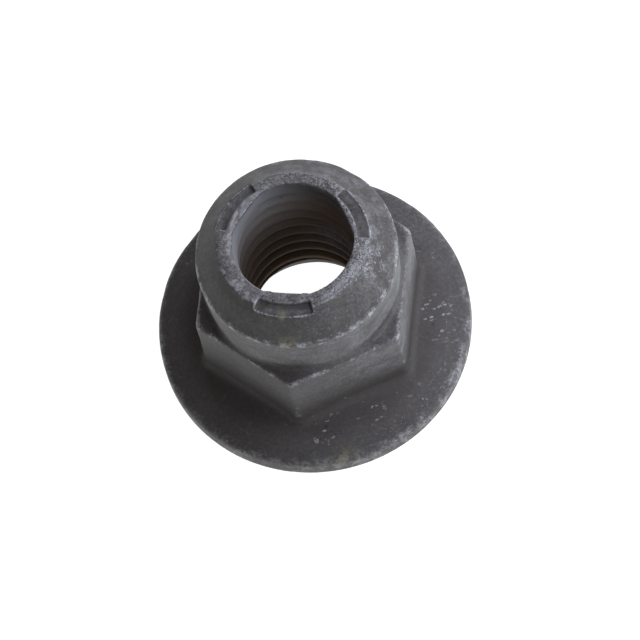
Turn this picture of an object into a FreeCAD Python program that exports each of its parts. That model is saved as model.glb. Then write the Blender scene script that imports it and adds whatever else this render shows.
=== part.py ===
import FreeCAD, Part
import math
import os

import Sketcher

# All-metal prevailing-torque hexagon flange nut, one forging.
# Origin: centre of the bearing face. +Z: along the thread, from the flange to the collar.
# Two flats face -X and +X, so two hexagon corners lie on the Y axis. Millimetres and degrees.

NODE = "flange_lock_nut"
SHEET = "Dimensions"

# alias, value, meaning
DRIVING = (
    ("nut_height", 20.0, "bearing face to the top land"),
    ("across_flats", 18.0, "hexagon, flat to flat"),
    ("hexagon_height", 11.55, "bearing face to the shoulder on top of the hexagon"),
    ("hexagon_corner_fillet", 0.7, "upright edges of the hexagon"),
    ("hexagon_top_fillet", 0.35, "edge between flats and shoulder"),
    ("flange_diameter", 27.8, "outside of the flange"),
    ("flange_rim_height", 2.0, "bearing face to the foot of the flange's cone"),
    ("flange_hub_height", 3.7, "height that the cone reaches at the flats"),
    ("flange_top_fillet", 0.7, "upper edge of the rim"),
    ("flange_bottom_fillet", 0.4, "lower edge of the rim"),
    ("flange_root_fillet", 1.0, "between the flats and the flange's cone"),
    ("collar_base_diameter", 17.2, "collar where it stands on the hexagon"),
    ("collar_diameter", 17.8, "widest part of the collar"),
    ("collar_edge_height", 17.1, "bearing face to the collar's outer edge"),
    ("collar_root_fillet", 0.5, "between the shoulder and the collar"),
    ("collar_edge_fillet", 0.6, "outer edge of the collar"),
    ("land_diameter", 13.0, "outside of the flat land round the mouth"),
    ("thread_major_diameter", 12.0, "M12"),
    ("thread_minor_diameter", 10.3, "crest of the internal thread"),
    ("thread_pitch", 1.75, "coarse M12 pitch"),
    ("thread_start_height", 1.2, "where the thread begins, inside the lead-in"),
    ("thread_runout", 0.5, "middle of the last thread groove to the foot of the mouth"),
    ("lead_in_diameter", 13.4, "lead-in cone at the bearing face"),
    ("lead_in_depth", 3.6, "bearing face to the end of the lead-in cone"),
    ("mouth_diameter", 10.7, "closed-in top end of the bore"),
    ("mouth_depth", 1.9, "length of that top end"),
    ("mouth_squeeze", 0.3, "how far a stake pushes the mouth's wall inwards"),
    ("stake_inner_diameter", 11.6, "inner wall of the stake pockets"),
    ("stake_outer_diameter", 13.7, "outer wall of the stake pockets"),
    ("stake_half_angle", 22.5, "half of the arc that a stake pocket covers"),
    ("stake_direction", 30.0, "direction of the first pocket, over a hexagon corner"),
    ("stake_depth", 0.6, "depth of the pockets below the land"),
)

STAKES = 3
BORE_SECTORS = 6
HEXAGON_SIDES = 6
FULL_TURN = 360.0
TOLERANCE = 1e-3


def fill_sheet(doc):
    sheet = doc.addObject("Spreadsheet::Sheet", SHEET)
    for row, (alias, value, meaning) in enumerate(DRIVING, start=1):
        sheet.set(f"A{row}", alias)
        sheet.set(f"B{row}", str(value))
        sheet.set(f"C{row}", meaning)
        sheet.setAlias(f"B{row}", alias)
    doc.recompute()
    return sheet


def dim(text):
    """Put the sheet's name before every alias of an expression."""
    aliases = sorted((alias for alias, _, _ in DRIVING), key=len, reverse=True)
    for index, alias in enumerate(aliases):
        text = text.replace(alias, f"@{index}@")
    for index, alias in enumerate(aliases):
        text = text.replace(f"@{index}@", f"{SHEET}.{alias}")
    return text


def value_of(obj, expression):
    result = obj.evalExpression(dim(expression))
    return float(getattr(result, "Value", result))


def origin_feature(body, role):
    for feature in body.Origin.OriginFeatures:
        if feature.Role == role:
            return feature
    raise RuntimeError(f"{body.Label} has no {role}")


def new_sketch(body, name, plane, height=None):
    sketch = body.newObject("Sketcher::SketchObject", name)
    sketch.AttachmentSupport = [(origin_feature(body, plane), "")]
    sketch.MapMode = "FlatFace"
    if height is not None:
        sketch.setExpression(".AttachmentOffset.Base.z", dim(height))
    return sketch


def arc_between(start, end, radius):
    """The short arc from start to end: counter-clockwise, or clockwise where radius is negative."""
    if radius < 0:
        start, end = end, start
    chord = end - start
    middle = (start + end) * 0.5
    left = FreeCAD.Vector(-chord.y, chord.x, 0).normalize()
    centre = middle + left * math.sqrt(radius ** 2 - (chord.Length / 2) ** 2)
    angles = [math.atan2(point.y - centre.y, point.x - centre.x) for point in (start, end)]
    if angles[1] < angles[0]:
        angles[1] += 2 * math.pi
    circle = Part.Circle(centre, FreeCAD.Vector(0, 0, 1), abs(radius))
    return Part.ArcOfCircle(circle, angles[0], angles[1])


def draw_outline(sketch, corners, radii=None):
    """Close an outline through corners, each a pair of expressions, and bind it to the sheet.

    radii holds one expression for each side that is an arc (a leading minus sign turns it
    clockwise) and None for each straight side.
    """
    radii = radii or [None] * len(corners)
    points = [FreeCAD.Vector(value_of(sketch, x), value_of(sketch, y), 0) for x, y in corners]
    ends = []
    for index, radius in enumerate(radii):
        start = points[index]
        end = points[(index + 1) % len(points)]
        if radius is None:
            side = sketch.addGeometry(Part.LineSegment(start, end), False)
            ends.append((side, 1, 2))
        else:
            size = value_of(sketch, radius)
            side = sketch.addGeometry(arc_between(start, end, size), False)
            ends.append((side, 1, 2) if size > 0 else (side, 2, 1))
    for index, (side, _, last) in enumerate(ends):
        following, first, _ = ends[(index + 1) % len(ends)]
        sketch.addConstraint(Sketcher.Constraint("Coincident", side, last, following, first))
    for (side, first, _), (x, y), point in zip(ends, corners, points):
        for kind, expression, size in (("DistanceX", x, point.x), ("DistanceY", y, point.y)):
            constraint = Sketcher.Constraint(kind, -1, 1, side, first, size)
            number = sketch.addConstraint(constraint)
            sketch.setExpression(f"Constraints[{number}]", dim(expression))
    for (side, _, _), radius in zip(ends, radii):
        if radius is not None:
            size = abs(value_of(sketch, radius))
            number = sketch.addConstraint(Sketcher.Constraint("Radius", side, size))
            sketch.setExpression(f"Constraints[{number}]", dim(f"abs({radius})"))


def polar(radius, angle):
    """Corner of an outline at a radius and a direction in degrees, both expressions."""
    return f"({radius}) * cos(({angle}) * 1 deg)", f"({radius}) * sin(({angle}) * 1 deg)"


def revolve(body, kind, name, sketch):
    feature = body.newObject(f"PartDesign::{kind}", name)
    feature.Profile = sketch
    feature.ReferenceAxis = (sketch, ["V_Axis"])
    feature.Angle = FULL_TURN
    return feature


def add_fillet(body, name, radius, wanted):
    """Round the edges of the body's tip for which wanted(edge) is true."""
    base = body.Tip
    edges = [f"Edge{number}" for number, edge in enumerate(base.Shape.Edges, start=1) if wanted(edge)]
    if not edges:
        raise RuntimeError(f"{name} found no edges")
    fillet = body.newObject("PartDesign::Fillet", name)
    fillet.Base = (base, edges)
    fillet.setExpression("Radius", dim(radius))
    return fillet


def radial_extent(edge):
    points = edge.discretize(5)
    return [math.hypot(point.x, point.y) for point in points]


def is_ring(edge, radius, height):
    """A circle round the Z axis, or a piece of one, at a radius and a height."""
    box = edge.BoundBox
    level = abs(box.ZMin - height) < TOLERANCE and abs(box.ZMax - height) < TOLERANCE
    return level and all(abs(reach - radius) < TOLERANCE for reach in radial_extent(edge))


def step(doc, body, feature, grows):
    """Recompute and make sure that the feature added or removed material, as it should."""
    before = body.Shape.Volume if not body.Shape.isNull() else 0.0
    body.Tip = feature
    doc.recompute()
    change = body.Shape.Volume - before
    if (change > 0) != grows or abs(change) < TOLERANCE:
        raise RuntimeError(f"{feature.Label} changed the volume by {change:.3f}")


def round_ring(doc, body, name, radius, reach, height, grows):
    fillet = add_fillet(body, name, radius, lambda edge: is_ring(edge, reach, height))
    step(doc, body, fillet, grows)


def add_flange(doc, body):
    sketch = new_sketch(body, "flange_section", "XZ_Plane")
    corners = (
        ("0", "0"),
        ("flange_diameter / 2", "0"),
        ("flange_diameter / 2", "flange_rim_height"),
        ("across_flats / 2", "flange_hub_height"),
        ("0", "flange_hub_height"),
    )
    draw_outline(sketch, corners)
    step(doc, body, revolve(body, "Revolution", "flange", sketch), grows=True)
    rim = value_of(body, "flange_diameter / 2")
    rim_top = value_of(body, "flange_rim_height")
    round_ring(doc, body, "flange_top", "flange_top_fillet", rim, rim_top, grows=False)
    round_ring(doc, body, "flange_bottom", "flange_bottom_fillet", rim, 0.0, grows=False)


def add_hexagon(doc, body):
    sketch = new_sketch(body, "hexagon_section", "XY_Plane")
    sector = FULL_TURN / HEXAGON_SIDES
    corners = [
        polar("across_flats / sqrt(3)", f"{sector * (side + 0.5)}") for side in range(HEXAGON_SIDES)
    ]
    draw_outline(sketch, corners)
    hexagon = body.newObject("PartDesign::Pad", "hexagon")
    hexagon.Profile = sketch
    hexagon.setExpression("Length", dim("hexagon_height"))
    step(doc, body, hexagon, grows=True)


def add_collar(doc, body):
    sketch = new_sketch(body, "collar_section", "XZ_Plane")
    corners = (
        ("0", "flange_hub_height"),
        ("collar_base_diameter / 2", "flange_hub_height"),
        ("collar_base_diameter / 2", "hexagon_height"),
        ("collar_diameter / 2", "collar_edge_height"),
        ("land_diameter / 2", "nut_height"),
        ("0", "nut_height"),
    )
    draw_outline(sketch, corners)
    step(doc, body, revolve(body, "Revolution", "collar", sketch), grows=True)
    reach = value_of(body, "collar_diameter / 2")
    height = value_of(body, "collar_edge_height")
    round_ring(doc, body, "collar_edge", "collar_edge_fillet", reach, height, grows=False)


def round_hexagon(doc, body):
    corner_reach = value_of(body, "across_flats / sqrt(3)")
    hexagon_top = value_of(body, "hexagon_height")
    rim_top = value_of(body, "flange_rim_height")
    collar_base = value_of(body, "collar_base_diameter / 2")

    def upright(edge):
        box = edge.BoundBox
        return box.ZLength > hexagon_top / 2 and min(radial_extent(edge)) > corner_reach - TOLERANCE

    def flange_root(edge):
        box = edge.BoundBox
        between = rim_top + TOLERANCE < box.ZMin and box.ZMax < hexagon_top / 2
        return between and max(radial_extent(edge)) < corner_reach + TOLERANCE

    def hexagon_edge(edge):
        box = edge.BoundBox
        level = abs(box.ZMin - hexagon_top) < TOLERANCE and box.ZLength < TOLERANCE
        return level and max(radial_extent(edge)) > collar_base + 2 * TOLERANCE

    step(doc, body, add_fillet(body, "hexagon_corners", "hexagon_corner_fillet", upright), grows=False)
    step(doc, body, add_fillet(body, "flange_root", "flange_root_fillet", flange_root), grows=True)
    step(doc, body, add_fillet(body, "hexagon_top", "hexagon_top_fillet", hexagon_edge), grows=False)
    round_ring(doc, body, "collar_root", "collar_root_fillet", collar_base, hexagon_top, grows=True)


def cut_pocket(body, name, sketch, length, upwards):
    pocket = body.newObject("PartDesign::Pocket", name)
    pocket.Profile = sketch
    pocket.Reversed = upwards
    pocket.Refine = False
    pocket.setExpression("Length", dim(length))
    return pocket


def cut_bore(doc, body):
    """Thread-crest bore, drawn as equal arcs from the bearing face to the foot of the mouth."""
    sketch = new_sketch(body, "bore_section", "XY_Plane")
    sector = FULL_TURN / BORE_SECTORS
    radius = "thread_minor_diameter / 2"
    corners = [polar(radius, f"{sector * side}") for side in range(BORE_SECTORS)]
    draw_outline(sketch, corners, [radius] * BORE_SECTORS)
    step(doc, body, cut_pocket(body, "bore", sketch, "nut_height - mouth_depth", True), grows=False)


def cut_lead_in(doc, body):
    sketch = new_sketch(body, "lead_in_section", "XZ_Plane")
    corners = (
        ("0", "0"),
        ("lead_in_diameter / 2", "0"),
        ("thread_minor_diameter / 2", "lead_in_depth"),
        ("0", "lead_in_depth"),
    )
    draw_outline(sketch, corners)
    lead_in = revolve(body, "Groove", "lead_in", sketch)
    lead_in.Refine = False
    step(doc, body, lead_in, grows=False)


def cut_mouth(doc, body):
    """Top end of the bore: round, and flattened inwards beside each stake."""
    sketch = new_sketch(body, "mouth_section", "XY_Plane", "nut_height")
    spacing = FULL_TURN / STAKES
    half_chord = "(mouth_diameter / 2 * sin(stake_half_angle * 1 deg))"
    chord_rise = "(mouth_diameter / 2 * (1 - cos(stake_half_angle * 1 deg)) - mouth_squeeze)"
    # A negative rise would turn the flattened side hollow, so the squeeze stays below it.
    flattened = f"(({half_chord})^2 + ({chord_rise})^2) / (2 * {chord_rise})"
    corners = []
    radii = []
    for stake in range(STAKES):
        for sign, radius in (("-", flattened), ("+", "mouth_diameter / 2")):
            angle = f"stake_direction + {spacing * stake} {sign} stake_half_angle"
            corners.append(polar("mouth_diameter / 2", angle))
            radii.append(radius)
    draw_outline(sketch, corners, radii)
    step(doc, body, cut_pocket(body, "mouth", sketch, "mouth_depth", False), grows=False)


def cut_thread(doc, body):
    """One helical groove with 60 degree flanks, from inside the lead-in to the foot of the mouth."""
    sketch = new_sketch(body, "thread_section", "XZ_Plane")
    major = "thread_major_diameter / 2"
    inside = "thread_minor_diameter / 2 - thread_pitch / 8"
    root = "thread_pitch / 16"
    opening = f"({root} + ({major} - ({inside})) * tan(30 deg))"
    corners = (
        (inside, f"thread_start_height - {opening}"),
        (major, f"thread_start_height - {root}"),
        (major, f"thread_start_height + {root}"),
        (inside, f"thread_start_height + {opening}"),
    )
    draw_outline(sketch, corners)
    thread = body.newObject("PartDesign::SubtractiveHelix", "thread")
    thread.Profile = sketch
    thread.ReferenceAxis = (sketch, ["V_Axis"])
    thread.Mode = "pitch-height-angle"
    thread.Refine = False
    thread.setExpression("Pitch", dim("thread_pitch"))
    rise = "nut_height - mouth_depth - thread_runout - thread_start_height"
    thread.setExpression("Height", dim(rise))
    step(doc, body, thread, grows=False)


def cut_stakes(doc, body):
    """Pockets punched into the land, which close the mouth in on the bolt."""
    sketch = new_sketch(body, "stake_section", "XY_Plane", "nut_height")
    inner = "stake_inner_diameter / 2"
    outer = "stake_outer_diameter / 2"
    low = "stake_direction - stake_half_angle"
    high = "stake_direction + stake_half_angle"
    corners = (polar(inner, low), polar(outer, low), polar(outer, high), polar(inner, high))
    draw_outline(sketch, corners, [None, outer, None, f"-{inner}"])
    first = cut_pocket(body, "first_stake", sketch, "stake_depth", False)
    step(doc, body, first, grows=False)
    stakes = body.newObject("PartDesign::PolarPattern", "stakes")
    stakes.Originals = [first]
    stakes.Axis = (origin_feature(body, "Z_Axis"), [""])
    stakes.Angle = FULL_TURN
    stakes.Occurrences = STAKES
    stakes.Refine = False
    step(doc, body, stakes, grows=False)


def make_nut(doc):
    body = doc.addObject("PartDesign::Body", NODE)
    body.Label = NODE
    body.Placement = FreeCAD.Placement()
    add_flange(doc, body)
    add_hexagon(doc, body)
    add_collar(doc, body)
    round_hexagon(doc, body)
    cut_bore(doc, body)
    cut_lead_in(doc, body)
    cut_mouth(doc, body)
    cut_thread(doc, body)
    cut_stakes(doc, body)
    return body


def check(doc, bodies):
    for obj in doc.Objects:
        if "Invalid" in obj.State or "Error" in obj.State:
            raise RuntimeError(f"{obj.Label}: {obj.State}")
    for body in bodies:
        if body.Shape.isNull() or not body.Shape.isValid() or len(body.Shape.Solids) != 1:
            raise RuntimeError(f"{body.Label} is not one valid solid")


def main():
    doc = FreeCAD.newDocument("flange_lock_nut_model")
    fill_sheet(doc)
    bodies = [make_nut(doc)]
    doc.recompute()
    check(doc, bodies)
    os.makedirs("parts", exist_ok=True)
    for body in bodies:
        body.Shape.exportStep(os.path.join("parts", f"{body.Label}.step"))
        box = body.Shape.BoundBox
        print(f"{body.Label}: {box.XLength:.2f} x {box.YLength:.2f} x {box.ZLength:.2f} mm,"
              f" {body.Shape.Volume:.1f} mm3")


main()
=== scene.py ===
import math

import bmesh
import bpy
import numpy as np
from mathutils import Matrix, Vector, noise


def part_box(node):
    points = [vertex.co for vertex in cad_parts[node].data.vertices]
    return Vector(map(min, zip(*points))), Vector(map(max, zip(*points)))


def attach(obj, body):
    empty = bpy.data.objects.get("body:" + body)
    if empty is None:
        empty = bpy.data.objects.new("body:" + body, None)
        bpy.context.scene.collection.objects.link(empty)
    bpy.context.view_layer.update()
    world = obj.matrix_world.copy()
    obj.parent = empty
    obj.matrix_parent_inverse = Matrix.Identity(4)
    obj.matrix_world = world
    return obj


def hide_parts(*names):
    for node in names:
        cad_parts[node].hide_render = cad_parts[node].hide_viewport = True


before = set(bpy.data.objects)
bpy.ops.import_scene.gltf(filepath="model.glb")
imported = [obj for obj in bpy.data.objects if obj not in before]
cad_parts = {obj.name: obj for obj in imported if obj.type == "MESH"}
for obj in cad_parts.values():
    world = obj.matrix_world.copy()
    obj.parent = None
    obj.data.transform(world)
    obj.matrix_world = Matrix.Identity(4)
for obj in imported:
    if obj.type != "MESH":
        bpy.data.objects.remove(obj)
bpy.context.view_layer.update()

# A forged, phosphated flange lock nut on a white light table. Metres, in the CAD model's frame:
# the bearing face lies on z = 0 and the thread's axis is +Z.

MM = 0.001
NODE = "flange_lock_nut"

LOW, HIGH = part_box(NODE)
NUT_HEIGHT = HIGH.z - LOW.z
FLANGE_RADIUS = (HIGH.x - LOW.x) / 2

# Heights and radii that the wear follows.
HUB_HEIGHT = 3.7 * MM
HEXAGON_TOP = 11.55 * MM
FLAT_REACH = 9.0 * MM
COLLAR_EDGE = 17.1 * MM
COLLAR_RADIUS = 8.9 * MM
LAND_RADIUS = 6.5 * MM
BORE_RADIUS = 5.15 * MM
MOUTH_RADIUS = 5.35 * MM
MOUTH_DEPTH = 1.9 * MM
THREAD_ROOT = 6.0 * MM
LEAD_IN_DEPTH = 3.6 * MM
THREAD_FADE = (17.3 * MM, 18.5 * MM)
STAKE_RADII = (5.8 * MM, 6.85 * MM)
STAKE_DEPTH = 0.6 * MM

# The punch that made the three stakes stood a little off the thread's axis.
PUNCH_OFFSET = (-0.145 * MM, -0.25 * MM)

VOXEL = 0.1 * MM
TRIANGLE_BUDGET = 190_000

# Wear in millimetres: the uneven forged skin, its grain, the lift that keeps it level, dents along edges.
BROAD_SKIN = 0.035
FINE_SKIN = 0.018
GRAIN_HEIGHT = 0.008
SKIN_LIFT = 0.02
DENT_DEPTH = 0.09
# The relief in millimetres at which a place counts fully as an edge or as a hollow.
EDGE_RELIEF = 0.06
HOLLOW_RELIEF = 0.08


# ---------------------------------------------------------------- camera, floor and light

CAMERA_AZIMUTH = 19.46
CAMERA_ELEVATION = 66.2
CAMERA_ROLL = -14.75
CAMERA_DISTANCE = 0.8
CAMERA_LENS = 511.5
SENSOR_WIDTH = 36.0
AIM_HEIGHT = 8 * MM
AIM_RIGHT = 1.13 * MM
AIM_UP = -2.33 * MM


def direction(azimuth, elevation):
    """Unit vector from the object towards a place; azimuth 0 is in front, at -Y."""
    a, e = math.radians(azimuth), math.radians(elevation)
    return Vector((math.sin(a) * math.cos(e), -math.cos(a) * math.cos(e), math.sin(e)))


def make_camera():
    data = bpy.data.cameras.new("camera")
    data.lens = CAMERA_LENS
    data.sensor_width = SENSOR_WIDTH
    data.clip_start = 0.01
    data.clip_end = 10.0
    camera = bpy.data.objects.new("camera", data)
    bpy.context.scene.collection.objects.link(camera)
    back = direction(CAMERA_AZIMUTH, CAMERA_ELEVATION)
    level = (-back).cross(Vector((0, 0, 1))).normalized()
    upright = level.cross(-back)
    roll = math.radians(CAMERA_ROLL)
    right = level * math.cos(roll) + upright * math.sin(roll)
    up = upright * math.cos(roll) - level * math.sin(roll)
    aim = Vector((0, 0, AIM_HEIGHT)) + right * AIM_RIGHT + up * AIM_UP
    turn = Matrix((right, up, back)).transposed().to_4x4()
    camera.matrix_world = Matrix.Translation(aim + back * CAMERA_DISTANCE) @ turn
    bpy.context.scene.camera = camera


def softbox(name, azimuth, elevation, power):
    data = bpy.data.lights.new(name, "AREA")
    data.shape = "DISK"
    data.size = SOFTBOX_SIZE
    data.energy = power
    data.color = SOFTBOX_COLOUR
    lamp = bpy.data.objects.new(name, data)
    towards = direction(azimuth, elevation)
    lamp.location = towards * SOFTBOX_DISTANCE + Vector((0, 0, NUT_HEIGHT / 2))
    lamp.rotation_mode = "QUATERNION"
    lamp.rotation_quaternion = towards.to_track_quat("Z", "Y")
    bpy.context.scene.collection.objects.link(lamp)


# name, azimuth, elevation, power in watts
SOFTBOXES = (
    ("key", 135, 25, 0.47),
    ("right_low", 95, 20, 0.48),
    ("right_high", 95, 55, 0.26),
    ("back", 180, 50, 0.27),
    ("front_high", 0, 55, 0.14),
    ("front_right", 40, 30, 0.26),
)
SOFTBOX_DISTANCE = 0.35
SOFTBOX_SIZE = 0.20
SOFTBOX_COLOUR = (0.92, 0.91, 1.0)
AMBIENT_COLOUR = (1.0, 0.62, 0.4, 1)
AMBIENT_STRENGTH = 0.06
TABLE_GLOW = 1.0
TABLE_COLOUR = (0.3, 0.3, 0.3, 1)
TABLE_HALF_WIDTH = 1.0
TABLE_GAP = 0.02 * MM


def make_lights():
    """Soft light from behind and from the right; the side towards the camera stays dark."""
    for name, azimuth, elevation, power in SOFTBOXES:
        softbox(name, azimuth, elevation, power)
    world = bpy.data.worlds.new("studio")
    world.use_nodes = True
    background = world.node_tree.nodes["Background"]
    background.inputs["Color"].default_value = AMBIENT_COLOUR
    background.inputs["Strength"].default_value = AMBIENT_STRENGTH
    bpy.context.scene.world = world


def make_floor():
    """A white light table: it glows evenly, so that it stays pale under the nut and through its bore."""
    mesh = bpy.data.meshes.new("light_table")
    half = TABLE_HALF_WIDTH
    corners = [(-half, -half, 0), (half, -half, 0), (half, half, 0), (-half, half, 0)]
    mesh.from_pydata(corners, [], [(0, 1, 2, 3)])
    floor = bpy.data.objects.new("light_table", mesh)
    floor.location.z = -TABLE_GAP
    bpy.context.scene.collection.objects.link(floor)
    material = bpy.data.materials.new("light_table")
    material.use_nodes = True
    shader = material.node_tree.nodes["Principled BSDF"]
    shader.inputs["Base Color"].default_value = TABLE_COLOUR
    shader.inputs["Roughness"].default_value = 0.9
    shader.inputs["Specular IOR Level"].default_value = 0.0
    shader.inputs["Emission Color"].default_value = (1, 1, 1, 1)
    shader.inputs["Emission Strength"].default_value = TABLE_GLOW
    mesh.materials.append(material)


# ---------------------------------------------------------------- the nut's surface

def evaluated_mesh(mesh, name, kind, **settings):
    """The mesh as one modifier leaves it."""
    holder = bpy.data.objects.new(name, mesh)
    bpy.context.scene.collection.objects.link(holder)
    modifier = holder.modifiers.new(name, kind)
    for key, value in settings.items():
        setattr(modifier, key, value)
    graph = bpy.context.evaluated_depsgraph_get()
    made = bpy.data.meshes.new_from_object(holder.evaluated_get(graph), depsgraph=graph)
    bpy.data.objects.remove(holder)
    made.name = name
    return made


def welded_copy(mesh):
    copy = mesh.copy()
    shape = bmesh.new()
    shape.from_mesh(copy)
    bmesh.ops.remove_doubles(shape, verts=shape.verts, dist=0.0002 * MM)
    shape.to_mesh(copy)
    shape.free()
    return copy


def read_points(mesh):
    points = np.empty(len(mesh.vertices) * 3, np.float32)
    mesh.vertices.foreach_get("co", points)
    return points.reshape(-1, 3).astype(np.float64)


def read_normals(mesh):
    normals = np.empty(len(mesh.vertices) * 3, np.float32)
    mesh.vertex_normals.foreach_get("vector", normals)
    return normals.reshape(-1, 3).astype(np.float64)


def write_points(mesh, points):
    mesh.vertices.foreach_set("co", points.astype(np.float32).ravel())
    mesh.update()


class Neighbours:
    """Averages values over the points that share an edge."""

    def __init__(self, mesh):
        ends = np.empty(len(mesh.edges) * 2, np.int32)
        mesh.edges.foreach_get("vertices", ends)
        self.a, self.b = ends.reshape(-1, 2).T
        self.size = len(mesh.vertices)
        self.count = self.total(np.ones(len(self.a)), np.ones(len(self.a)))

    def total(self, from_b, from_a):
        size = self.size
        return np.bincount(self.a, from_b, size) + np.bincount(self.b, from_a, size)

    def mean(self, values):
        columns = [self.total(v[self.b], v[self.a]) / self.count for v in values.T]
        return np.stack(columns, axis=1)


def smooth(points, near, rounds, keep_size=True):
    """Relax the points; with keep_size each round's shrinking is given back."""
    for _ in range(rounds):
        points = points + 0.5 * (near.mean(points) - points)
        if keep_size:
            points = points - 0.52 * (near.mean(points) - points)
    return points


def noise_at(points, size, seed):
    """Smooth noise in -1..1 with features of that size, at every point."""
    shift = Vector((seed * 17.3, seed * 5.9, seed * 11.1))
    return np.array([noise.noise(Vector(p) + shift) for p in (points / size).tolist()])


def step_between(low, high, values):
    share = np.clip((values - low) / (high - low), 0, 1)
    return share * share * (3 - 2 * share)


def relief(points, normals, near):
    """How far each point stands out of its surroundings, in millimetres: edges +, corners -."""
    broad = smooth(points, near, 14, keep_size=False)
    return np.einsum("ij,ij->i", normals, points - broad) / MM


def store(mesh, name, values):
    layer = mesh.attributes.new(name, "FLOAT", "POINT")
    layer.data.foreach_set("value", values.astype(np.float32))


def move_punch(points):
    """Shift the stake pockets and the ridge beside them, and let the shift fade out around them."""
    radius = np.hypot(points[:, 0], points[:, 1])
    inside = step_between(MOUTH_RADIUS - 0.1 * MM, STAKE_RADII[0], radius)
    outside = 1 - step_between(STAKE_RADII[1] + 0.1 * MM, COLLAR_RADIUS, radius)
    pocket_floor = NUT_HEIGHT - STAKE_DEPTH
    above_thread = step_between(NUT_HEIGHT - MOUTH_DEPTH, pocket_floor - 0.2 * MM, points[:, 2])
    beside_thread = step_between(THREAD_ROOT + 0.2 * MM, LAND_RADIUS, radius)
    share = inside * outside * np.maximum(above_thread, beside_thread)
    points[:, :2] += share[:, None] * np.array(PUNCH_OFFSET)


def blend(first, second, share):
    return first + (second - first) * share[:, None]


def soften(points, near):
    """Round off the forged hexagon, the land and the thread, and let the thread's last turn fade out."""
    radius = np.hypot(points[:, 0], points[:, 1])
    height = points[:, 2]
    rounder = smooth(points, near, 12, keep_size=False)
    roundest = smooth(rounder, near, 30, keep_size=False)
    hexagon = step_between(FLAT_REACH - 0.7 * MM, FLAT_REACH - 0.2 * MM, radius)
    hexagon *= step_between(HUB_HEIGHT, HUB_HEIGHT + 2 * MM, height)
    hexagon *= 1 - step_between(HEXAGON_TOP + 0.2 * MM, HEXAGON_TOP + 1 * MM, height)
    thread = 1 - step_between(THREAD_ROOT, THREAD_ROOT + 0.2 * MM, radius)
    thread *= 1 - step_between(NUT_HEIGHT - MOUTH_DEPTH, NUT_HEIGHT - STAKE_DEPTH, height)
    thread *= step_between(LEAD_IN_DEPTH, LEAD_IN_DEPTH + 2 * MM, height)
    land = step_between(LAND_RADIUS - 0.5 * MM, LAND_RADIUS - 0.2 * MM, radius)
    land *= step_between(NUT_HEIGHT - 1.2 * MM, NUT_HEIGHT - 0.8 * MM, height)
    points = blend(points, rounder, np.maximum(0.8 * hexagon, 0.6 * land))
    still_sharp = 0.5 * step_between(13 * MM, 17 * MM, height)
    points = blend(points, roundest, thread * (0.92 - still_sharp))
    fading = thread * step_between(THREAD_FADE[0], THREAD_FADE[1], height)
    reach = np.maximum(radius, BORE_RADIUS)
    points[:, :2] *= (1 + fading * (BORE_RADIUS / reach - 1))[:, None]
    return points


def wear_down(mesh):
    """Turn the sharp CAD shape into a forging: soft edges, dents, a slightly uneven skin."""
    near = Neighbours(mesh)
    points = smooth(read_points(mesh), near, 2)
    move_punch(points)
    write_points(mesh, points)
    standing = relief(points, read_normals(mesh), near)
    points = soften(points, near)
    write_points(mesh, points)
    normals = read_normals(mesh)
    radius = np.hypot(points[:, 0], points[:, 1])
    outside = step_between(MOUTH_RADIUS, MOUTH_RADIUS + 0.5 * MM, radius)
    outside *= step_between(0.1 * MM, 0.6 * MM, points[:, 2])
    skin = BROAD_SKIN * noise_at(points, 4.5 * MM, 1) + FINE_SKIN * noise_at(points, 1.3 * MM, 2)
    grain = GRAIN_HEIGHT * noise_at(points, 0.4 * MM, 3)
    dents = step_between(0.12, 0.5, noise_at(points, 1.6 * MM, 4))
    edge = np.clip(standing / EDGE_RELIEF, 0, 1)
    change = outside * (skin + grain + SKIN_LIFT - DENT_DEPTH * dents * edge)
    points = points + normals * (change * MM)[:, None]
    reach = np.hypot(points[:, 0], points[:, 1])
    shrink = np.minimum(1, FLANGE_RADIUS / np.maximum(reach, 1e-9))
    points[:, :2] *= shrink[:, None]
    points[:, 2] = np.clip(points[:, 2], LOW.z, HIGH.z)
    write_points(mesh, points)
    store(mesh, "edge", edge)
    store(mesh, "hollow", np.clip(-standing / HOLLOW_RELIEF, 0, 1))


def make_nut():
    blank = evaluated_mesh(welded_copy(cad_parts[NODE].data), "blank", "REMESH",
                           mode="VOXEL", voxel_size=VOXEL, adaptivity=0)
    wear_down(blank)
    share = TRIANGLE_BUDGET / (2 * len(blank.polygons))
    mesh = evaluated_mesh(blank, "nut_forging", "DECIMATE", ratio=min(1, share))
    mesh.materials.clear()
    mesh.polygons.foreach_set("use_smooth", [True] * len(mesh.polygons))
    mesh.polygons.foreach_set("material_index", [0] * len(mesh.polygons))
    mesh.update()
    nut = bpy.data.objects.new("nut_forging", mesh)
    bpy.context.scene.collection.objects.link(nut)
    return nut


# ---------------------------------------------------------------- material

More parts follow.
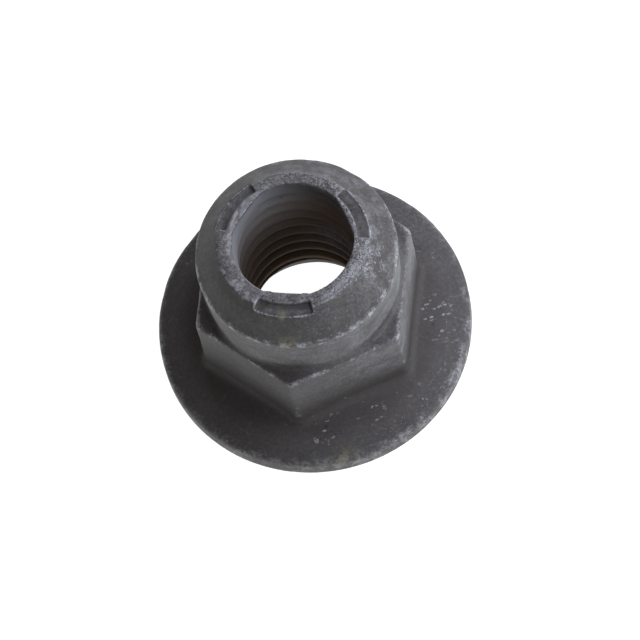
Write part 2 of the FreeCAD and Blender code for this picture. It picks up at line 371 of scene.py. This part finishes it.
class Graph:
    """Short calls that add shader nodes and link them."""

    def __init__(self, material):
        material.use_nodes = True
        self.tree = material.node_tree
        self.shader = self.tree.nodes["Principled BSDF"]

    def put(self, kind, inputs=None, **settings):
        node = self.tree.nodes.new(kind)
        for key, value in settings.items():
            setattr(node, key, value)
        for key, value in (inputs or {}).items():
            self.feed(node.inputs[key], value)
        return node

    def feed(self, socket, value):
        if isinstance(value, bpy.types.NodeSocket):
            self.tree.links.new(value, socket)
        else:
            socket.default_value = value

    def math(self, operation, *values):
        node = self.put("ShaderNodeMath", operation=operation)
        for socket, value in zip(node.inputs, values):
            self.feed(socket, value)
        return node.outputs[0]

    def product(self, first, *others):
        for other in others:
            first = self.math("MULTIPLY", first, other)
        return first

    def total(self, first, *others):
        for other in others:
            first = self.math("ADD", first, other)
        return first

    def greatest(self, first, *others):
        for other in others:
            first = self.math("MAXIMUM", first, other)
        return first

    def rest(self, value):
        return self.math("SUBTRACT", 1, value)

    def ramp(self, value, low, high):
        inputs = {"Value": value, "From Min": low, "From Max": high}
        node = self.put("ShaderNodeMapRange", inputs, interpolation_type="SMOOTHSTEP", clamp=True)
        return node.outputs[0]

    def noise(self, where, size, detail, rough=0.55, stretch=(1, 1, 1)):
        scaled = self.put("ShaderNodeMapping", {"Vector": where, "Scale": stretch}, vector_type="POINT")
        inputs = {"Vector": scaled.outputs[0], "Scale": 1 / size, "Detail": detail, "Roughness": rough}
        return self.put("ShaderNodeTexNoise", inputs, noise_dimensions="3D").outputs["Fac"]

    def turned(self, where, degrees):
        """The coordinates turned about the Z axis."""
        inputs = {"Vector": where, "Angle": math.radians(degrees)}
        return self.put("ShaderNodeVectorRotate", inputs, rotation_type="Z_AXIS").outputs[0]

    def mix(self, share, first, second):
        node = self.put("ShaderNodeMix", data_type="RGBA")
        colours = [socket for socket in node.inputs if socket.type == "RGBA"]
        self.feed(node.inputs["Factor"], share)
        self.feed(colours[0], first)
        self.feed(colours[1], second)
        return [socket for socket in node.outputs if socket.type == "RGBA"][0]


def grey(level, warmth=0.0):
    """A linear colour from a screen level of 0 to 255; warmth shifts it to brown."""
    def linear(screen):
        share = max(screen, 0) / 255
        return share / 12.92 if share <= 0.04045 else ((share + 0.055) / 1.055) ** 2.4
    return (linear(level + warmth), linear(level), linear(level - warmth), 1)


COAT_DARK = grey(57, 1)
COAT_LIGHT = grey(66, 0)
CRYSTAL = grey(96, 0)
PORE = grey(34, 1)
FOOT_SHADE = grey(34, 4)
THREAD_DIRT = grey(85, 12)
CREST_DIRT = grey(82, 15)
ROOT_DIRT_AND_SHADE = grey(66, 11)
DUST_AND_LIGHT = grey(150, -5)
HOLLOW_SHADE = grey(38, 3)
PIT = grey(24, 2)
BARE_STEEL_AND_HIGHLIGHT = grey(188, -6)
OLIVE_RESIDUE = (0.20, 0.20, 0.12, 1)

# Places on the nut: angle from +X to +Y in degrees, radius, height, size.
CHIP_CLUSTERS = (
    (3, 11 * MM, 3 * MM, 3 * MM),
    (281, 11 * MM, 3 * MM, 2.4 * MM),
    (305, 10.8 * MM, 3 * MM, 1.6 * MM),
)
RESIDUE_SPOTS = (
    (271, COLLAR_RADIUS - 0.2 * MM, COLLAR_EDGE + 0.1 * MM, 1.2 * MM),
    (269, STAKE_RADII[1] + 0.2 * MM, NUT_HEIGHT - 0.5 * MM, 0.9 * MM),
    (288, FLANGE_RADIUS - 0.3 * MM, 1.9 * MM, 1.6 * MM),
)
ROUGH_PATCH = (350, 7.0 * MM, NUT_HEIGHT - 0.6 * MM, 2.6 * MM)
SCRATCH_TURN = -22
CHIP_TURN = -25


class Places:
    """Masks for the parts of the nut, from the object's own coordinates."""

    def __init__(self, g):
        self.g = g
        self.where = g.put("ShaderNodeTexCoord").outputs["Object"]
        axes = g.put("ShaderNodeSeparateXYZ", {"Vector": self.where}).outputs
        self.x, self.y, self.height = axes["X"], axes["Y"], axes["Z"]
        squares = g.total(g.product(self.x, self.x), g.product(self.y, self.y))
        self.radius = g.math("SQRT", squares)

    def above(self, level, blur=0.3 * MM):
        return self.g.ramp(self.height, level - blur, level + blur)

    def below(self, level, blur=0.3 * MM):
        return self.g.ramp(self.height, level + blur, level - blur)

    def beyond(self, reach, blur=0.2 * MM):
        return self.g.ramp(self.radius, reach - blur, reach + blur)

    def within(self, reach, blur=0.2 * MM):
        return self.g.ramp(self.radius, reach + blur, reach - blur)

    def towards(self, angle, half_width, blur=20):
        """A sector round the Z axis; the angle in degrees counts from +X to +Y."""
        turn = math.radians(angle)
        across = self.g.total(self.g.product(self.x, math.cos(turn)), self.g.product(self.y, math.sin(turn)))
        cosine = self.g.math("DIVIDE", across, self.radius)
        outer = math.cos(math.radians(min(half_width + blur, 179)))
        inner = math.cos(math.radians(max(half_width - blur, 1)))
        return self.g.ramp(cosine, outer, inner)

    def near(self, angle, reach, height, size):
        """A round spot of that size about a place on the surface."""
        turn = math.radians(angle)
        centre = (reach * math.cos(turn), reach * math.sin(turn), height)
        gap = self.g.put("ShaderNodeVectorMath", {0: self.where, 1: centre}, operation="DISTANCE")
        return self.g.ramp(gap.outputs["Value"], size, size * 0.3)


class Surface(Places):
    """The nut's faces as masks, and the noises that break them up."""

    def __init__(self, g):
        super().__init__(g)
        self.edge = g.put("ShaderNodeAttribute", attribute_name="edge").outputs["Fac"]
        self.hollow = g.put("ShaderNodeAttribute", attribute_name="hollow").outputs["Fac"]

        self.cloud = g.noise(self.where, 5 * MM, 4)
        self.patch = g.noise(self.where, 2.4 * MM, 4, 0.6)
        self.streak = g.noise(self.where, 1.8 * MM, 4, 0.62, stretch=(0.9, 0.9, 1.7))
        self.blotch = g.noise(self.where, 1.2 * MM, 5, 0.65)
        self.fine = g.noise(self.where, 0.4 * MM, 3, 0.6)
        self.grain = g.noise(self.where, 0.28 * MM, 4, 0.8)
        self.spark = g.noise(self.where, 0.24 * MM, 3, 0.6)
        self.crystal = g.noise(self.where, 0.15 * MM, 2, 0.5)
        speckled = g.total(g.product(self.grain, 0.45), g.product(self.crystal, 0.65))
        self.speckle = g.ramp(speckled, 0.5, 0.7)

        top = NUT_HEIGHT
        ragged = g.total(self.radius, g.product(g.math("SUBTRACT", self.blotch, 0.5), 2.6 * MM))
        self.land = g.product(
            self.above(top - 0.35 * MM, 0.15 * MM), self.beyond(MOUTH_RADIUS - 0.25 * MM, 0.1 * MM),
            g.ramp(ragged, LAND_RADIUS + 0.6 * MM, LAND_RADIUS - 0.4 * MM))
        self.pocket = g.product(
            self.above(top - 0.9 * MM, 0.1 * MM), self.below(top - 0.45 * MM, 0.1 * MM),
            self.within(STAKE_RADII[1], 0.2 * MM))
        self.bore = g.product(
            self.within(THREAD_ROOT + 0.1 * MM, 0.1 * MM), self.below(top - 0.3 * MM, 0.2 * MM))
        self.cone = g.product(self.above(COLLAR_EDGE + 0.2 * MM), self.beyond(LAND_RADIUS, 0.3 * MM))
        self.brim = g.product(
            self.above(COLLAR_EDGE - 0.35 * MM, 0.15 * MM), self.below(COLLAR_EDGE + 0.25 * MM, 0.15 * MM),
            self.beyond(COLLAR_RADIUS - 0.5 * MM, 0.2 * MM))
        self.wall = g.product(
            self.above(HEXAGON_TOP + 0.8 * MM), self.below(COLLAR_EDGE, 0.3 * MM),
            self.beyond(COLLAR_RADIUS - 1 * MM))
        self.shoulder = g.product(
            self.above(HEXAGON_TOP - 0.3 * MM, 0.3 * MM), self.below(HEXAGON_TOP + 0.6 * MM, 0.3 * MM))
        self.flats = g.product(
            self.above(HUB_HEIGHT + 2.6 * MM, 2.2 * MM), self.below(HEXAGON_TOP - 0.3 * MM, 0.5 * MM))
        self.foot = g.product(self.below(HUB_HEIGHT + 3 * MM, 3 * MM), self.within(11.5 * MM, 1 * MM))
        self.flange = self.below(HUB_HEIGHT, 0.5 * MM)
        self.right = self.towards(10, 60, 40)


def flakes(g, where, spacing, size, stretch, turn, seed):
    """Scattered chips of uneven shape: cells of their own random size, seen through warped space."""
    warp = g.put("ShaderNodeTexNoise", {"Vector": where, "Scale": 2.2 / spacing, "Detail": 2.0})
    pushed = g.put("ShaderNodeVectorMath", {0: warp.outputs["Color"], 1: (0.5, 0.5, 0.5)}, operation="SUBTRACT")
    scaled = g.put("ShaderNodeVectorMath", {0: pushed.outputs[0], "Scale": 1.1 * spacing}, operation="SCALE")
    moved = g.put("ShaderNodeVectorMath", {0: where, 1: scaled.outputs[0]}, operation="ADD")
    inputs = {"Vector": g.turned(moved.outputs[0], turn), "Scale": stretch, "Location": (seed * spacing, 0, 0)}
    placed = g.put("ShaderNodeMapping", inputs, vector_type="POINT")
    cells = g.put("ShaderNodeTexVoronoi", {"Vector": placed.outputs[0], "Scale": 1 / spacing})
    random = g.put("ShaderNodeSeparateColor", {"Color": cells.outputs["Color"]}).outputs[0]
    reach = g.product(g.math("POWER", random, 3.0), size / spacing)
    return g.ramp(g.math("SUBTRACT", reach, cells.outputs["Distance"]), 0.0, 0.08)


def coat_colour(g, at):
    """A dark, slightly brown phosphate with a fine crystal grain and small pores, painted shade at the hexagon's
    foot, and brown dirt in the thread with painted shade in its upper roots.
    """
    coat = g.mix(g.ramp(at.cloud, 0.35, 0.65), COAT_DARK, COAT_LIGHT)
    coat = g.mix(g.product(g.ramp(at.grain, 0.35, 0.75), 0.5), coat, CRYSTAL)
    coat = g.mix(g.product(g.ramp(at.fine, 0.6, 0.75), 0.4), coat, PORE)
    # Painted shade: the foot of the hexagon, where the flats meet the flange, is painted darker.
    coat = g.mix(g.product(at.foot, 0.5), coat, FOOT_SHADE)
    # Painted shade: above the deep part, the thread's roots are painted darker than its crests to even out the
    # light that falls on them; deep down the thread is one even brown.
    to_root = g.ramp(at.radius, BORE_RADIUS + 0.2 * MM, BORE_RADIUS + 0.5 * MM)
    deep = g.product(at.bore, at.below(NUT_HEIGHT - 8 * MM, 5 * MM))
    thread = g.mix(deep, THREAD_DIRT, g.mix(to_root, CREST_DIRT, ROOT_DIRT_AND_SHADE))
    return g.mix(g.product(at.bore, at.below(NUT_HEIGHT - 3 * MM, 2 * MM)), coat, thread)


def dust_and_light_share(g, at):
    """Pale dust on the cone, the collar, the flats and the land, with painted light: more of it on the right-hand
    side where the lamps shine, and a painted lit patch on one side of the bore.
    """
    # Pale dust plus painted light: the weights towards the right-hand side and the back paint the sides that face
    # the lamps lighter.
    dust_and_lit_sides = g.total(
        g.product(at.cone, g.total(0.06, g.product(at.towards(58, 88, 46), 0.26))),
        g.product(at.wall, g.total(0.27, g.product(at.right, 0.26))),
        g.product(at.flats, g.total(0.09, g.product(at.right, 0.44))),
        g.product(at.pocket, 0.3),
        g.product(at.flange, at.towards(72, 35, 25), 0.15),
        g.product(at.shoulder, at.right, 0.2),
        g.product(at.land, 0.3))
    mottle = g.total(g.product(at.blotch, 0.5), g.product(at.patch, 0.5))
    patchy = g.mix(at.cone, g.ramp(at.streak, 0.2, 0.75), g.ramp(mottle, 0.4, 0.62))
    dust_and_light = g.product(dust_and_lit_sides, patchy, g.ramp(at.grain, 0.2, 0.7), 1.3)
    # Painted light on the left-hand wall of the bore, where the lamps from the right shine in.
    bore_wall_light = g.product(at.bore, at.above(NUT_HEIGHT - 6 * MM, 6 * MM), at.towards(170, 60, 45), 0.62)
    return g.greatest(dust_and_light, bore_wall_light)


def rubbed_share(g, at):
    """Metal rubbed bare in thin, broken lines along the edges, the collar's brim and the flange's rim."""
    edges = g.ramp(g.total(at.edge, g.product(g.math("SUBTRACT", at.blotch, 0.45), 2.0)), 0.35, 0.95)
    rim = g.product(
        at.beyond(FLANGE_RADIUS - 0.5 * MM, 0.35 * MM), g.total(0.3, g.product(at.towards(-20, 40, 30), 0.35)))
    bands = g.product(g.greatest(rim, at.brim), g.ramp(at.blotch, 0.42, 0.62))
    upright = g.product(at.flats, g.rest(g.product(at.right, 0.6)))
    return g.product(
        g.greatest(edges, bands), g.rest(at.bore), g.rest(g.product(at.land, 0.5)),
        g.ramp(at.grain, 0.35, 0.6), g.rest(g.product(upright, 0.9)))


def land_share(g, at):
    """The land struck by the punch: speckled, with two burnished arcs that also carry a painted highlight, rough
    beside one stake.
    """
    speckled = g.product(at.land, at.speckle, g.total(0.36, g.product(at.towards(5, 55, 35), 0.6)))
    # Painted highlight: a burnished arc along the mouth's lip beside one stake, painted bright where light glints
    # on it.
    lip = g.product(
        at.within(MOUTH_RADIUS + 0.6 * MM, 0.2 * MM), at.beyond(MOUTH_RADIUS + 0.12 * MM, 0.12 * MM),
        at.above(NUT_HEIGHT - 0.6 * MM, 0.2 * MM), g.ramp(at.blotch, 0.38, 0.6), at.towards(152, 18, 10))
    broken = g.ramp(g.total(g.product(at.blotch, 0.5), g.product(at.crystal, 0.5)), 0.42, 0.58)
    # Painted highlight on a second burnished arc across the land.
    burnish_and_highlight = g.product(
        at.within(6.6 * MM, 0.2 * MM), at.beyond(5.9 * MM, 0.2 * MM), at.towards(328, 26, 16), at.land, broken)
    rough = g.product(at.near(*ROUGH_PATCH), at.speckle, g.ramp(at.blotch, 0.4, 0.65))
    return g.greatest(speckled, g.product(g.greatest(lip, burnish_and_highlight), 0.95), g.product(rough, 0.75))


def spark_share(g, at):
    """Single bright crystals on the cone's front, the flange's front edge and the collar."""
    sparkling = g.total(
        g.product(at.cone, at.towards(-25, 40, 30)),
        g.product(at.beyond(FLANGE_RADIUS - 1.6 * MM, 0.6 * MM), at.towards(-35, 25, 20)),
        g.product(g.greatest(at.wall, at.brim), 0.5))
    return g.product(g.ramp(at.spark, 0.6, 0.72), sparkling, 0.42)


def scratch_share(g, at):
    fine_lines = g.noise(g.turned(at.where, SCRATCH_TURN), 1.2 * MM, 3, 0.6, stretch=(0.35, 4.5, 1))
    where = g.total(g.product(at.flange, at.towards(-20, 60, 40), 0.26), g.product(at.cone, 0.08))
    return g.product(g.ramp(fine_lines, 0.62, 0.7), g.ramp(at.blotch, 0.45, 0.6), where)


def chip_clusters(g, at):
    strewn = g.product(g.ramp(g.noise(at.where, 2.6 * MM, 2), 0.58, 0.66), 0.35)
    return g.greatest(*[at.near(*place) for place in CHIP_CLUSTERS], strewn)


def residue_share(g, at):
    spots = g.greatest(*[at.near(*place) for place in RESIDUE_SPOTS])
    return g.product(spots, g.ramp(g.total(at.blotch, g.product(at.grain, 0.4)), 0.58, 0.8), 0.45)


def make_steel():
    material = bpy.data.materials.new("phosphated_steel")
    g = Graph(material)
    at = Surface(g)

    clusters = chip_clusters(g, at)
    chips = flakes(g, at.where, 0.36 * MM, 0.2 * MM, (0.7, 1.5, 1), CHIP_TURN, 1)
    pits = flakes(g, at.where, 0.45 * MM, 0.2 * MM, (1, 1, 1), 0, 7)
    chipped = g.product(chips, clusters, g.total(g.product(at.flange, 0.45), g.product(at.cone, 0.3)))
    bright = g.greatest(
        g.product(rubbed_share(g, at), 0.8), land_share(g, at), spark_share(g, at), chipped, scratch_share(g, at))

    colour = g.mix(dust_and_light_share(g, at), coat_colour(g, at), DUST_AND_LIGHT)
    # Painted shade in hollows and creases.
    colour = g.mix(g.product(at.hollow, 0.2), colour, HOLLOW_SHADE)
    colour = g.mix(g.product(pits, clusters, 0.7), colour, PIT)
    # Bare rubbed steel, and the painted highlights on the land, in one bright colour.
    colour = g.mix(bright, colour, BARE_STEEL_AND_HIGHLIGHT)
    colour = g.mix(residue_share(g, at), colour, OLIVE_RESIDUE)
    g.feed(g.shader.inputs["Base Color"], colour)
    g.feed(g.shader.inputs["Metallic"], g.product(bright, 0.3))
    roughness = g.total(g.math("SUBTRACT", 0.6, g.product(bright, 0.12)), g.product(at.bore, 0.4))
    g.feed(g.shader.inputs["Roughness"], roughness)
    rise = g.total(g.product(at.grain, 0.5), g.product(at.blotch, 0.5))
    bump = g.put("ShaderNodeBump", {"Height": rise, "Strength": 0.7, "Distance": 0.04 * MM})
    g.feed(g.shader.inputs["Normal"], bump.outputs[0])
    return material


# ---------------------------------------------------------------- the scene

def main():
    bpy.context.scene.view_settings.view_transform = "Standard"
    nut = make_nut()
    nut.data.materials.append(make_steel())
    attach(nut, "root")
    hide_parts(NODE)
    make_floor()
    make_lights()
    make_camera()


main()
